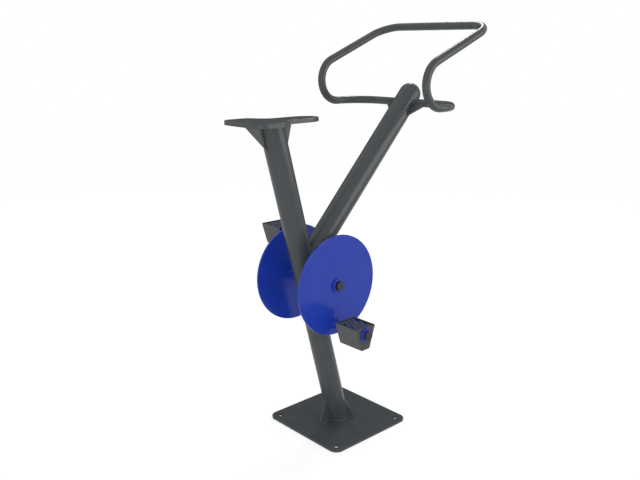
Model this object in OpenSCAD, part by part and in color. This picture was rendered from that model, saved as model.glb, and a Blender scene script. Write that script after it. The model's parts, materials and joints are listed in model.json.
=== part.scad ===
// Outdoor exercise bike: a fixed frame of two round tubes on a floor plate, a flat steel
// saddle, a looped handlebar, and two crank discs that turn on one axle and carry box pedals.
// X points forwards, Y to the rider's left, Z up. The origin is the centre of the plate's
// underside. A pedal always hangs level, because its weight lies below its spindle.

/* [Base plate] */
// Side of the square floor plate
plate_side = 355; // [340:1:400]
// Thickness of the floor plate
plate_t = 8; // [6:0.5:12]
// Radius of the plate's corners
plate_corner_r = 30; // [10:1:36]
// Distance of each anchor hole from the plate's edges
anchor_inset = 29.5; // [24:0.5:40]
// Diameter of the anchor holes
anchor_hole_d = 18; // [12:0.5:20]
// Thickness of the ribs at the foot of the post
rib_t = 6; // [4:0.5:10]
// Height of the rear rib above the plate
rear_rib_h = 87; // [60:1:120]
// Length of the rear rib's foot along the plate
rear_rib_foot = 48; // [35:1:65]
// Height of the two front ribs above the plate
front_rib_h = 75; // [55:1:100]
// Length of the front ribs' feet along the plate
front_rib_foot = 18; // [12:1:30]
// Angle between each front rib and the middle plane
front_rib_angle = 50; // [40:1:65]
// Height of the blunt end of each rib's foot
rib_nose = 4; // [2:0.5:8]

/* [Frame tubes] */
// Outer diameter of the post and the front tube
tube_d = 76.1; // [70:0.1:88.9]
// Wall of the post and the front tube
tube_wall = 3.6; // [2.6:0.1:5]
// Angle by which the post leans back
post_lean = 15; // [10:0.5:18]
// Angle by which the front tube leans forwards
front_lean = 43; // [38:0.5:48]
// Distance of the post's foot in front of the plate's centre
post_foot_x = 3; // [-15:1:15]
// Length of the front tube from the crossing of the two tube axes
front_len = 734; // [680:1:800]
// Wall of the domed cap on the front tube
dome_wall = 3; // [2:0.5:5]

/* [Handlebar] */
// Outer diameter of the handlebar tube
bar_d = 26.9; // [21.3:0.1:33.7]
// Wall of the handlebar tube
bar_wall = 2.6; // [1.5:0.1:3.2]
// Width of the handlebar between the centres of its two sides
bar_width = 478; // [430:1:540]
// Distance of the crossbar from the front tube's upper end
bar_below_end = 25; // [20:1:60]
// Distance of the crossbar in front of the front tube's axis
bar_ahead = 14.2; // [8:0.1:16]
// Radius of the crossbar's outer bends
bar_cross_bend_r = 100; // [70:1:130]
// Length of the short straight after the crossbar's bends
bar_side_len = 18.7; // [10:0.1:40]
// Radius of the bends that turn up and forwards
bar_side_bend_r = 75; // [60:1:95]
// Angle by which the arms rise
bar_arm_rise = 22; // [10:1:35]
// Straight length of the arms
bar_arm_len = 227; // [180:1:280]
// Radius of the two upper corners
bar_top_bend_r = 75; // [50:1:110]
// Thickness of the gussets under the crossbar
bar_gusset_t = 5; // [4:0.5:8]
// Distance of the gussets' outer ends from the middle plane
bar_gusset_reach = 80; // [60:1:110]
// Length of the gussets along the front tube, from the crossbar's axis
bar_gusset_drop = 62; // [45:1:90]
// Depth of the gussets' outer ends, from the crossbar's axis
bar_gusset_nose = 22; // [18:0.5:30]

/* [Seat] */
// Height of the seat's top above the floor
seat_h = 1093.4; // [1000:0.1:1180]
// Distance of the seat's rear edge behind the post's axis
seat_behind = 116; // [100:1:135]
// Length of the seat
seat_len = 303; // [285:1:335]
// Width of the seat's rear part
seat_w = 196; // [180:1:220]
// Width of the seat's nose
seat_nose_w = 83; // [76:1:94]
// Length of the full-width stretch with its rear corners
seat_wide_len = 86; // [76:1:96]
// Radius of the rear corners
seat_corner_r = 40; // [25:1:55]
// Radius of the shoulders
seat_shoulder_r = 30; // [20:1:38]
// Angle that the shoulders turn inwards
seat_shoulder_turn = 60; // [45:1:65]
// Radius of the hollows between the shoulders and the nose
seat_waist_r = 50; // [35:1:58]
// Length of the rounded tip
seat_tip_len = 60; // [50:1:75]
// Depth of the seat's rim
seat_rim = 13; // [11:0.5:20]
// Thickness of the seat's sheet
seat_t = 3; // [2:0.5:4]
// Thickness of the flat bar that carries the seat
seat_bar_t = 6; // [4:0.5:7]
// Width of the flat bar that carries the seat
seat_bar_w = 70; // [60:1:76]
// Distance of the rear gusset's end behind the post's axis
seat_gusset_rear = 95; // [80:1:98]
// Distance of the front gusset's end before the post's axis
seat_gusset_front = 83; // [70:1:110]
// Depth of the seat's gussets below the flat bar
seat_gusset_drop = 82; // [60:1:110]

/* [Crank] */
// Height of the crank's axle above the floor
axle_h = 558.8; // [520:0.1:600]
// Distance of the axle's centre in front of the post's face
axle_proud = 0.95; // [0:0.05:4]
// Space between the bearing housing and the front tube
housing_clear = 2.5; // [2:0.1:10]
// Diameter of the axle, which is the bearings' bore
axle_d = 25; // [20:1:28]
// Outer diameter of the bearings
bearing_d = 52; // [47:1:58]
// Width of the bearings
bearing_w = 15; // [12:1:16]
// Balls in each bearing
ball_count = 9; // [7:1:9]
// Distance of the bearings' inner faces from the middle plane
bearing_y = 44; // [40:1:55]
// Wall of the bearing housing
housing_wall = 4.15; // [3.5:0.05:6]
// Radius of the crank discs
disc_r = 166.5; // [150:0.5:180]
// Thickness of the crank discs
disc_t = 6.5; // [5:0.5:10]
// Space along the axle between the housing and each hub's boss
hub_space = 22.4; // [15:0.1:35]
// Diameter of the hub's boss behind the disc
boss_d = 58; // [54:1:70]
// Thickness of the hub's boss
boss_t = 10; // [8:0.5:14]
// Diameter of the hub's ring in front of the disc
hub_ring_d = 48; // [46:1:52]
// Height of the hub's ring over the disc
hub_ring_h = 7; // [5:0.5:9]
// Height of the hub's cap over its ring
hub_cap_h = 8.5; // [6:0.5:10]

/* [Pedals] */
// Distance of the pedal spindles from the axle
crank_r = 127.6; // [115:0.1:135]
// Angle of the crank from upright in the rest position
crank_angle = 5; // [0:1:45]
// Diameter of the pedal spindles
spindle_d = 20; // [18:1:22]
// Space between each disc and its pedal
pedal_space = 44.9; // [35:0.1:60]
// Length of the pedals along their spindles
pedal_len = 95.6; // [90:0.1:120]
// Width of the pedals at the top
pedal_top_w = 84.6; // [76:0.1:100]
// Width of the pedals at the bottom
pedal_bottom_w = 37; // [34:0.1:60]
// Height of the pedals
pedal_h = 75.8; // [68:0.1:90]
// Thickness of the pedals' sheet
pedal_sheet = 3; // [2:0.5:4]
// Outside radius of the folds along the pedals' lower edges
pedal_fold_r = 5; // [4.5:0.5:8]
// Depth of the tread below the pedal's rim
tread_recess = 4.2; // [3:0.1:6]
// Thickness of the tread's sheet
tread_t = 2.5; // [2:0.5:4]
// Diameter of the tread's holes
tread_hole_d = 9; // [7:0.5:11]
// Distance between the rows and columns of holes
tread_pitch = 17; // [16:0.5:22]
// Height of the raised collar round each hole
tread_collar_h = 1.8; // [1:0.1:2.4]
// Diameter of the blue ring on the pedal's outer end
pedal_ring_d = 43; // [40:1:46]
// Height of the blue ring over the pedal's end
pedal_ring_h = 7.5; // [4:0.5:10]
// Height of the pedal's cap over its ring
pedal_cap_h = 8.5; // [5:0.5:10]
// Diameter of the dark caps on the hubs and the pedals
cap_d = 31; // [28:0.5:32]

/* [Hidden] */
$fn = 72;

// Names of the pieces

// Colours
coat_grey = [0.28, 0.3, 0.31];
coat_blue = [0.13, 0.2, 0.6];
coat_pedal = [0.33, 0.34, 0.34];
cap_black = [0.13, 0.13, 0.12];
bright_steel = [0.75, 0.76, 0.78];
zinc = [0.66, 0.68, 0.7];
bronze = [0.72, 0.52, 0.28];
seal_black = [0.08, 0.08, 0.08];

// Clearances and overruns
weld_gap = 0.3;
press_gap = 0.02;
run_gap = 0.05;
thrust_gap = 0.3;
hole_gap = 0.2;
cut = 5;

// Post: its axis runs through (post_foot_x, 0, 0)
tube_r = tube_d / 2;
function post_x(z) = post_foot_x - z * tan(post_lean);
function post_half_depth() = tube_r / cos(post_lean);

// Distance from the post's centre at the plate to its face at height z, in the direction a
function post_exit(z, a) =
    let (
        behind = post_x(plate_t) - post_x(z),
        along = (cos(a) * cos(post_lean)) ^ 2 + sin(a) ^ 2,
        lag = behind * cos(a) * cos(post_lean) ^ 2,
        rest = (behind * cos(post_lean)) ^ 2 - tube_r ^ 2
    )
    (sqrt(lag ^ 2 - along * rest) - lag) / along;

// Seat, from its top down
seat_top_z = seat_h;
seat_bar_z = seat_top_z - seat_t - seat_bar_t;
seat_axis_x = post_x(seat_top_z);
seat_rear_x = seat_axis_x - seat_behind;
seat_gusset_t = rib_t;
seat_bar_end = 3;

// Bearings and housing, as distances from the middle plane along the axle
bearing_out_y = bearing_y + bearing_w;
circlip_t = 2;
circlip_depth = 1.5;
circlip_slack = 0.1;
circlip_width = 4.4;
circlip_opening = 28;
seal_t = 4.7;
housing_lip = 1;
groove_end_y = bearing_out_y + circlip_t + circlip_slack;
seal_y = groove_end_y + hole_gap;
housing_end_y = seal_y + seal_t + housing_lip;
bearing_r = bearing_d / 2;
axle_r = axle_d / 2;
housing_r = bearing_r + housing_wall;
housing_step = 2.5;
ball_share = 0.588;
race_share = 0.64;
groove_share = 1.02;
pitch_r = (bearing_r + axle_r) / 2;
ball_r = ball_share * (bearing_r - axle_r) / 2;
race_half = race_share * ball_r;
groove_r = groove_share * ball_r;
shield_t = 0.6;
shield_inset = 0.3;
spacer_wall = 2.9;

// Axle: it lies before the post, and the two tubes cross where the front tube clears the housing
axle_ahead = tube_r + axle_proud;
axle_x = post_x(axle_h) + axle_ahead / cos(post_lean);
tubes_angle = post_lean + front_lean;
front_axis_dist = tube_r + housing_r + housing_clear;
join_up = (front_axis_dist - axle_ahead * cos(tubes_angle)) / sin(tubes_angle);
join_z = axle_h - axle_ahead * sin(post_lean) + join_up * cos(post_lean);
join_x = post_x(join_z);

// Hubs, as distances from the middle plane along the axle
boss_y = housing_end_y + hub_space;
disc_in_y = boss_y + boss_t;
disc_out_y = disc_in_y + disc_t;
ring_y = disc_out_y + hub_ring_h;
hub_nose_wall = 7.5;
hub_nose_r = axle_r + hub_nose_wall;
hub_tip_len = 2.5;
hub_tip_r = pitch_r - race_half - 2 * run_gap;
hub_recess = 9;
recess_y = ring_y - hub_recess;
axle_short = 1;
axle_end_y = recess_y - axle_short;
edge_chamfer = 1;

// Keys between the axle and the hubs
key_w = 8;
key_h = 7;
key_in_axle = 4;
key_len = 26;
key_y = seal_y + seal_t + housing_lip;

// Bolts in the axle's ends
bolt_d = 12;
bolt_len = 30;
bolt_head_af = 18;
bolt_head_h = 7.5;
washer_t = 2.5;
axle_washer_play = 3;
axle_washer_d = cap_d - axle_washer_play;
cap_wall = 2.5;
cap_edge_r = 2;
cap_gap = 0.2;

// Pedal spindles, as distances from the middle plane
stud_d = 16;
stud_nut_af = 24;
stud_nut_h = 13;
stud_washer_t = 3;
stud_washer_d = 30;
stud_proud = 1;
flange_d = 40;
flange_t = 8;
shoulder_wall = 4;
pedal_in_y = disc_out_y + pedal_space;
pedal_out_y = pedal_in_y + pedal_len;
thrust_t = 1.5;
barrel_proud = 3;
barrel_in_y = pedal_in_y - barrel_proud;
shoulder_y = barrel_in_y - thrust_gap - thrust_t;
bush_len = 25;
bush_wall = 3;
barrel_wall = 3.5;
end_recess = 25.1;
end_shoulder_y = pedal_out_y + pedal_ring_h - end_recess;
end_thread_d = 12;
end_washer_t = 2.5;
end_nut_af = 19;
end_nut_h = 12;
end_thread_proud = 1.2;
bush_r = spindle_d / 2 + bush_wall;
barrel_r = bush_r + barrel_wall;

// Pedal boxes: heights are taken from the spindle's axis
tread_over_barrel = 1.2;
pedal_top = barrel_r + tread_over_barrel + tread_t + tread_recess;
pedal_bottom = pedal_top - pedal_h;
pedal_slope = atan((pedal_top_w - pedal_bottom_w) / 2 / pedal_h);
tread_top = pedal_top - tread_recess;
tread_margin = 10;
tread_collar_w = 2.2;
tread_collar_slope = 0.8;
cap_skirt_len = 8;
cap_skirt_wall = 2;

// Handlebar
bar_r = bar_d / 2;
bar_half = bar_width / 2;
bar_along = front_len - bar_below_end;
bar_x = join_x + bar_along * sin(front_lean) + bar_ahead * cos(front_lean);
bar_z = join_z + bar_along * cos(front_lean) - bar_ahead * sin(front_lean);
bar_side_turn = 180 - bar_arm_rise;
bar_bend_x = bar_x - bar_cross_bend_r - bar_side_len;
bar_bend_z = bar_z + bar_side_bend_r;
bar_arm_x = bar_bend_x - bar_side_bend_r * sin(bar_arm_rise);
bar_arm_z = bar_bend_z + bar_side_bend_r * cos(bar_arm_rise);
bar_corner_x = bar_arm_x + bar_arm_len * cos(bar_arm_rise);
bar_corner_z = bar_arm_z + bar_arm_len * sin(bar_arm_rise);
bar_top_x = bar_corner_x + bar_top_bend_r * cos(bar_arm_rise);
bar_top_z = bar_corner_z + bar_top_bend_r * sin(bar_arm_rise);
bar_butt_gap = 0.6;
bar_gusset_back = 6;
bend_thinning = 0.05;
bend_lap = 0.5;

// Points along an arc, from one angle to another
arc_steps = 12;
function arc(cx, cy, rx, ry, from, to) = [
    for (i = [0 : arc_steps])
        let (a = from + (to - from) * i / arc_steps)
        [cx + rx * cos(a), cy + ry * sin(a)]
];
function mirrored(points) = [for (i = [len(points) - 1 : -1 : 0]) [points[i][0], -points[i][1]]];

// Places a child on one side of the bike: 1 is left, -1 is right
module on_side(side) {
    scale([1, side, 1]) children();
}

module both_sides() {
    children();
    mirror([0, 1, 0]) children();
}

// Places a child with its axis along Y, so that its height becomes the distance from the middle
module along_y() {
    rotate([-90, 0, 0]) children();
}

module at_axle() {
    translate([axle_x, 0, axle_h]) children();
}

module at_spindle(side) {
    translate([
        axle_x + side * crank_r * sin(crank_angle),
        0,
        axle_h + side * crank_r * cos(crank_angle)
    ]) children();
}

module at_front_tube() {
    translate([join_x, 0, join_z]) rotate([0, front_lean, 0]) children();
}

module ring(outer_r, inner_r, from_y, to_y) {
    along_y() translate([0, 0, from_y]) difference() {
        cylinder(r = outer_r, h = to_y - from_y);
        translate([0, 0, -cut]) cylinder(r = inner_r, h = to_y - from_y + 2 * cut);
    }
}

module hex_nut(across_flats, bore_d, from_y, height) {
    along_y() translate([0, 0, from_y]) difference() {
        cylinder(d = across_flats / cos(30), h = height, $fn = 6);
        translate([0, 0, -cut]) cylinder(d = bore_d, h = height + 2 * cut);
    }
}

// The solid space that the post takes, from below the floor to above the seat
module post_space(extra) {
    translate([post_x(-cut), 0, -cut]) rotate([0, -post_lean, 0])
        cylinder(r = tube_r + extra, h = (seat_top_z + 2 * cut) / cos(post_lean));
}

module front_space(extra) {
    at_front_tube() cylinder(r = tube_r + extra, h = front_len);
}

module base_plate() {
    inner = plate_side / 2 - plate_corner_r;
    hole = plate_side / 2 - anchor_inset;
    color(coat_grey) difference() {
        union() {
            translate([-inner, -plate_side / 2, 0]) cube([2 * inner, plate_side, plate_t]);
            translate([-plate_side / 2, -inner, 0]) cube([plate_side, 2 * inner, plate_t]);
            for (x = [-inner, inner]) for (y = [-inner, inner])
                translate([x, y, 0]) cylinder(r = plate_corner_r, h = plate_t);
        }
        for (x = [-hole, hole]) for (y = [-hole, hole])
            translate([x, y, -cut]) cylinder(d = anchor_hole_d, h = plate_t + 2 * cut);
    }
}

// Three welded ribs round the foot of the post: one behind it and two before it
module base_ribs() {
    rear_x = post_x(plate_t) - post_half_depth();
    rear_top_x = post_x(plate_t + rear_rib_h) - post_half_depth();
    front_reach = tube_r + front_rib_foot;
    front_top = post_exit(plate_t + front_rib_h, front_rib_angle);
    color(coat_grey) difference() {
        union() {
            translate([0, rib_t / 2, plate_t]) rotate([90, 0, 0]) linear_extrude(rib_t) polygon([
                [rear_x - rear_rib_foot, 0],
                [post_foot_x, 0],
                [rear_top_x + tube_r, rear_rib_h],
                [rear_top_x, rear_rib_h],
                [rear_x - rear_rib_foot, rib_nose]
            ]);
            both_sides() translate([post_x(plate_t), 0, plate_t])
                rotate([0, 0, front_rib_angle]) translate([0, rib_t / 2, 0])
                rotate([90, 0, 0]) linear_extrude(rib_t) polygon([
                    [0, 0],
                    [front_reach, 0],
                    [front_reach, rib_nose],
                    [front_top, front_rib_h],
                    [0, front_rib_h]
                ]);
        }
        post_space(weld_gap);
    }
}

module seat_post() {
    reach = plate_side + seat_top_z;
    color(coat_grey) difference() {
        post_space(0);
        post_space(-tube_wall);
        translate([-reach, -reach, plate_t - reach]) cube([2 * reach, 2 * reach, reach]);
        translate([-reach, -reach, seat_bar_z]) cube([2 * reach, 2 * reach, reach]);
        at_axle() along_y() translate([0, 0, -tube_d])
            cylinder(r = housing_r + weld_gap, h = 2 * tube_d);
    }
}

module front_tube() {
    color(coat_grey) difference() {
        front_space(0);
        at_front_tube() translate([0, 0, -cut])
            cylinder(r = tube_r - tube_wall, h = front_len + 2 * cut);
        post_space(weld_gap);
        translate([bar_x, 0, bar_z]) along_y() translate([0, 0, -tube_d])
            cylinder(r = bar_r + weld_gap, h = 2 * tube_d);
    }
}

module front_tube_cap() {
    color(coat_grey) at_front_tube() translate([0, 0, front_len]) difference() {
        sphere(r = tube_r);
        sphere(r = tube_r - dome_wall);
        translate([-tube_d, -tube_d, -tube_d]) cube([2 * tube_d, 2 * tube_d, tube_d]);
    }
}

// One straight stretch of the loop along Z: a hair thicker than the bends and lapped over their
// ends, because a tube is drawn slightly thinner where it is bent
module bar_straight(r, length) {
    translate([0, 0, -bend_lap]) cylinder(r = r + bend_thinning, h = length + 2 * bend_lap);
}

module bar_bend(r, bend_r, turn) {
    rotate_extrude(angle = turn) translate([bend_r, 0]) circle(r = r);
}

// The whole loop as a solid bar of radius r: crossbar, bends, arms and top bar
module bar_loop(r) {
    cross_half = bar_half - bar_cross_bend_r;
    top_half = bar_half - bar_top_bend_r;
    translate([bar_x, -cross_half, bar_z]) along_y() bar_straight(r, 2 * cross_half);
    translate([bar_top_x, -top_half, bar_top_z]) along_y() bar_straight(r, 2 * top_half);
    both_sides() {
        translate([bar_x - bar_cross_bend_r, cross_half, bar_z])
            bar_bend(r, bar_cross_bend_r, 90);
        translate([bar_bend_x, bar_half, bar_z]) rotate([0, 90, 0])
            bar_straight(r, bar_side_len);
        translate([bar_bend_x, bar_half, bar_bend_z]) rotate([90, 0, 0])
            rotate([0, 0, 90 + bar_arm_rise]) bar_bend(r, bar_side_bend_r, bar_side_turn);
        translate([bar_arm_x, bar_half, bar_arm_z]) rotate([0, 90 - bar_arm_rise, 0])
            bar_straight(r, bar_arm_len);
        translate([bar_corner_x, top_half, bar_corner_z]) rotate([0, -bar_arm_rise, 0])
            bar_bend(r, bar_top_bend_r, 90);
    }
}

// One bent tube; its two ends meet inside the front tube
module handlebar() {
    color(coat_grey) difference() {
        bar_loop(bar_r);
        bar_loop(bar_r - bar_wall);
        translate([bar_x - bar_d, -bar_butt_gap / 2, bar_z - bar_d])
            cube([2 * bar_d, bar_butt_gap, 2 * bar_d]);
    }
}

module handlebar_gussets() {
    color(coat_grey) difference() {
        both_sides() at_front_tube()
            translate([bar_ahead - bar_gusset_back - bar_gusset_t / 2, 0, bar_along])
            rotate([90, 0, 90]) linear_extrude(bar_gusset_t) polygon([
                [0, 0],
                [bar_gusset_reach, 0],
                [bar_gusset_reach, -bar_gusset_nose],
                [tube_r, -bar_gusset_drop],
                [0, -bar_gusset_drop]
            ]);
        front_space(weld_gap);
        translate([bar_x, 0, bar_z]) along_y() translate([0, 0, -bar_half])
            cylinder(r = bar_r + weld_gap, h = bar_width);
    }
}

// Outline of the saddle, drawn inwards by the given inset
function seat_side(inset) =
    let (
        w = seat_w / 2,
        n = seat_nose_w / 2,
        turn = seat_shoulder_turn,
        shoulder_end_x = seat_wide_len + seat_shoulder_r * sin(turn),
        shoulder_end_y = w - seat_shoulder_r * (1 - cos(turn)),
        waist_start_y = n + seat_waist_r * (1 - cos(turn)),
        waist_start_x = shoulder_end_x + (shoulder_end_y - waist_start_y) / tan(turn),
        waist_x = waist_start_x + seat_waist_r * sin(turn)
    )
    concat(
        arc(seat_corner_r, w - seat_corner_r, seat_corner_r - inset, seat_corner_r - inset,
            180, 90),
        arc(seat_wide_len, w - seat_shoulder_r, seat_shoulder_r - inset,
            seat_shoulder_r - inset, 90, 90 - turn),
        arc(waist_x, n + seat_waist_r, seat_waist_r + inset, seat_waist_r + inset,
            270 - turn, 270),
        arc(seat_len - seat_tip_len, 0, seat_tip_len - inset, n - inset, 90, 0)
    );

module seat_outline(inset) {
    side = seat_side(inset);
    polygon(concat(side, [for (p = mirrored(side)) if (p[1] < 0) p]));
}

// Folded tray, open below
module seat_pan() {
    color(coat_grey) translate([seat_rear_x, 0, seat_top_z - seat_rim]) difference() {
        linear_extrude(seat_rim) seat_outline(0);
        translate([0, 0, -cut]) linear_extrude(seat_rim - seat_t + cut) seat_outline(seat_t);
    }
}

module seat_mount_bar() {
    rear = seat_gusset_rear + seat_bar_end;
    front = seat_gusset_front + seat_bar_end;
    color(coat_grey) translate([seat_axis_x - rear, -seat_bar_w / 2, seat_bar_z])
        cube([rear + front, seat_bar_w, seat_bar_t]);
}

module seat_gussets() {
    low_z = seat_bar_z - seat_gusset_drop;
    nose_z = seat_top_z - seat_rim - seat_bar_z;
    color(coat_grey) difference() {
        translate([0, seat_gusset_t / 2, seat_bar_z]) rotate([90, 0, 0])
            linear_extrude(seat_gusset_t) polygon([
                [seat_axis_x - seat_gusset_rear, 0],
                [seat_axis_x - seat_gusset_rear, nose_z],
                [post_x(low_z) - post_half_depth(), -seat_gusset_drop],
                [post_x(low_z) + post_half_depth(), -seat_gusset_drop],
                [seat_axis_x + seat_gusset_front, nose_z],
                [seat_axis_x + seat_gusset_front, 0]
            ]);
        post_space(weld_gap);
    }
}

// Cross tube with a bearing seat, a circlip groove and a seal seat at each end
module bearing_housing() {
    color(coat_grey) at_axle() along_y() rotate_extrude() difference() {
        translate([0, -housing_end_y]) square([housing_r, 2 * housing_end_y]);
        translate([0, -housing_end_y - cut])
            square([bearing_r - housing_step, 2 * (housing_end_y + cut)]);
        for (s = [0, 1]) mirror([0, s]) {
            translate([0, bearing_y])
                square([bearing_r + press_gap, housing_end_y - bearing_y + cut]);
            translate([0, bearing_out_y])
                square([bearing_r + circlip_depth, groove_end_y - bearing_out_y]);
        }
    }
}

// Half section of one bearing, between two radii, with the balls' groove cut out
module bearing_section(from_r, to_r) {
    translate([0, bearing_y]) difference() {
        translate([from_r, 0]) square([to_r - from_r, bearing_w]);
        translate([pitch_r, bearing_w / 2]) circle(r = groove_r);
    }
}

module bearing_outer_rings() {
    color(bright_steel) at_axle() both_sides() along_y() rotate_extrude()
        bearing_section(pitch_r + race_half, bearing_r);
}

module bearing_inner_rings() {
    color(bright_steel) at_axle() both_sides() along_y() rotate_extrude()
        bearing_section(axle_r + press_gap, pitch_r - race_half);
}

module bearing_balls() {
    color(bright_steel) at_axle() both_sides() along_y()
        translate([0, 0, bearing_y + bearing_w / 2])
        for (i = [0 : ball_count - 1]) rotate([0, 0, i * 360 / ball_count])
            translate([pitch_r, 0, 0]) sphere(r = ball_r);
}

module bearing_shields() {
    in_r = pitch_r - race_half + thrust_gap;
    out_r = pitch_r + race_half - thrust_gap;
    color(zinc) at_axle() both_sides()
        for (y = [bearing_y + shield_inset, bearing_out_y - shield_inset - shield_t])
            ring(out_r, in_r, y, y + shield_t);
}

module housing_circlips() {
    out_r = bearing_r + circlip_depth - hole_gap;
    color(zinc) at_axle() both_sides() along_y()
        translate([0, 0, bearing_out_y + circlip_slack / 2])
        rotate([0, 0, 90 + circlip_opening / 2]) rotate_extrude(angle = 360 - circlip_opening)
        translate([out_r - circlip_width, 0]) square([circlip_width, circlip_t]);
}

module dust_seals() {
    color(seal_black) at_axle() both_sides()
        ring(bearing_r - run_gap, hub_nose_r + thrust_gap, seal_y, seal_y + seal_t);
}

module key_slot(height, extra) {
    for (s = [0, 1]) mirror([0, s, 0])
        translate([-key_w / 2 - extra, key_y - extra, axle_r - key_in_axle - extra])
        cube([key_w + 2 * extra, key_len + 2 * extra, height + extra]);
}

module crank_axle() {
    color(bright_steel) at_axle() difference() {
        along_y() translate([0, 0, -axle_end_y]) cylinder(r = axle_r, h = 2 * axle_end_y);
        key_slot(key_in_axle + cut, 0);
        both_sides() along_y() translate([0, 0, axle_end_y - bolt_len])
            cylinder(r = bolt_d / 2 + run_gap, h = bolt_len + cut);
    }
}

module bearing_spacer() {
    color(zinc) at_axle()
        ring(axle_r + run_gap + spacer_wall, axle_r + run_gap, -bearing_y, bearing_y);
}

module axle_keys() {
    color(bright_steel) at_axle() key_slot(key_h, -run_gap);
}

// Turned hub: tip on the bearing, sleeve in the seal, boss behind the disc, ring before it
module crank_hub(side) {
    color(coat_blue) at_axle() on_side(side) difference() {
        along_y() rotate_extrude() polygon([
            [axle_r + press_gap, bearing_out_y],
            [hub_tip_r, bearing_out_y],
            [hub_tip_r, bearing_out_y + hub_tip_len],
            [hub_nose_r, bearing_out_y + hub_tip_len],
            [hub_nose_r, boss_y],
            [boss_d / 2 - edge_chamfer, boss_y],
            [boss_d / 2, boss_y + edge_chamfer],
            [boss_d / 2, disc_in_y],
            [hub_ring_d / 2, disc_in_y],
            [hub_ring_d / 2, ring_y - edge_chamfer],
            [hub_ring_d / 2 - edge_chamfer, ring_y],
            [cap_d / 2 + cap_gap, ring_y],
            [cap_d / 2 + cap_gap, recess_y],
            [axle_r + press_gap, recess_y]
        ]);
        translate([-key_w / 2, key_y, 0])
            cube([key_w, recess_y - key_y + cut, axle_r - key_in_axle + key_h + hole_gap]);
    }
}

module crank_hub_right() crank_hub(-1);
module crank_hub_left() crank_hub(1);

module crank_disc(side) {
    color(coat_blue) on_side(side) difference() {
        at_axle() ring(disc_r, hub_ring_d / 2 + press_gap, disc_in_y, disc_out_y);
        at_spindle(side) along_y() translate([0, 0, disc_in_y - cut])
            cylinder(r = stud_d / 2 + run_gap, h = disc_t + 2 * cut);
    }
}

module crank_disc_right() crank_disc(-1);
module crank_disc_left() crank_disc(1);

module axle_washers() {
    color(zinc) at_axle() both_sides()
        ring(axle_washer_d / 2, bolt_d / 2 + hole_gap, recess_y, recess_y + washer_t);
}

module axle_bolts() {
    head_y = recess_y + washer_t;
    color(zinc) at_axle() both_sides() along_y() {
        translate([0, 0, axle_end_y - bolt_len + axle_short])
            cylinder(d = bolt_d, h = head_y - axle_end_y + bolt_len - axle_short);
        translate([0, 0, head_y]) cylinder(d = bolt_head_af / cos(30), h = bolt_head_h, $fn = 6);
    }
}

// Section of a cap: a closed cup with a rounded rim, from its skirt's end to its face
module cap_section(r, base, face) {
    polygon(concat(
        [[r - cap_wall, base], [r, base]],
        arc(r - cap_edge_r, face - cap_edge_r, cap_edge_r, cap_edge_r, 0, 90),
        [[0, face], [0, face - cap_wall], [r - cap_wall, face - cap_wall]]
    ));
}

module hub_caps() {
    color(cap_black) at_axle() both_sides() along_y() rotate_extrude()
        cap_section(cap_d / 2, recess_y + washer_t, ring_y + hub_cap_h);
}

// Turned spindle: a stud through the disc, a flange on it, a shoulder and the journal
module pedal_spindle(side) {
    stud_y = disc_in_y - stud_washer_t - stud_nut_h - stud_proud;
    thread_end_y = end_shoulder_y + end_washer_t + end_nut_h + end_thread_proud;
    shoulder_r = spindle_d / 2 + shoulder_wall;
    color(bright_steel) on_side(side) at_spindle(side) along_y() rotate_extrude() polygon([
        [0, stud_y],
        [stud_d / 2 - edge_chamfer, stud_y],
        [stud_d / 2, stud_y + edge_chamfer],
        [stud_d / 2, disc_out_y],
        [flange_d / 2, disc_out_y],
        [flange_d / 2, disc_out_y + flange_t - edge_chamfer],
        [flange_d / 2 - edge_chamfer, disc_out_y + flange_t],
        [shoulder_r, disc_out_y + flange_t],
        [shoulder_r, shoulder_y],
        [spindle_d / 2, shoulder_y],
        [spindle_d / 2, end_shoulder_y],
        [end_thread_d / 2, end_shoulder_y],
        [end_thread_d / 2, thread_end_y - edge_chamfer],
        [end_thread_d / 2 - edge_chamfer, thread_end_y],
        [0, thread_end_y]
    ]);
}

module pedal_spindle_right() pedal_spindle(-1);
module pedal_spindle_left() pedal_spindle(1);

module spindle_washers() {
    color(zinc) for (side = [-1, 1]) on_side(side) at_spindle(side)
        ring(stud_washer_d / 2, stud_d / 2 + hole_gap, disc_in_y - stud_washer_t, disc_in_y);
}

module spindle_nuts() {
    color(zinc) for (side = [-1, 1]) on_side(side) at_spindle(side)
        hex_nut(stud_nut_af, stud_d + 2 * run_gap, disc_in_y - stud_washer_t - stud_nut_h,
            stud_nut_h);
}

module pedal_thrust_washers() {
    color(bronze) for (side = [-1, 1]) on_side(side) at_spindle(side) {
        ring(bush_r, spindle_d / 2 + run_gap, shoulder_y, shoulder_y + thrust_t);
        ring(bush_r - thrust_gap, end_thread_d / 2 + hole_gap, end_shoulder_y,
            end_shoulder_y + end_washer_t);
    }
}

module pedal_nuts() {
    color(zinc) for (side = [-1, 1]) on_side(side) at_spindle(side)
        hex_nut(end_nut_af, end_thread_d + 2 * run_gap, end_shoulder_y + end_washer_t, end_nut_h);
}

// Pedal's side, from its upper edge round the lower fold to the middle of its bottom,
// drawn inwards by the given inset
function pedal_side(inset) =
    let (
        a = pedal_slope,
        top_x = pedal_top_w / 2 - inset / cos(a),
        fold_z = pedal_bottom + pedal_fold_r,
        fold_x = pedal_bottom_w / 2 - pedal_fold_r * (1 - sin(a)) / cos(a)
    )
    concat(
        [[top_x, pedal_top]],
        arc(fold_x, fold_z, pedal_fold_r - inset, pedal_fold_r - inset, -a, -90)
    );

function mirrored_x(points) = [for (i = [len(points) - 1 : -1 : 0]) [-points[i][0], points[i][1]]];

module pedal_outline(inset) {
    side = pedal_side(inset);
    polygon(concat(side, mirrored_x(side)));
}

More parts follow.
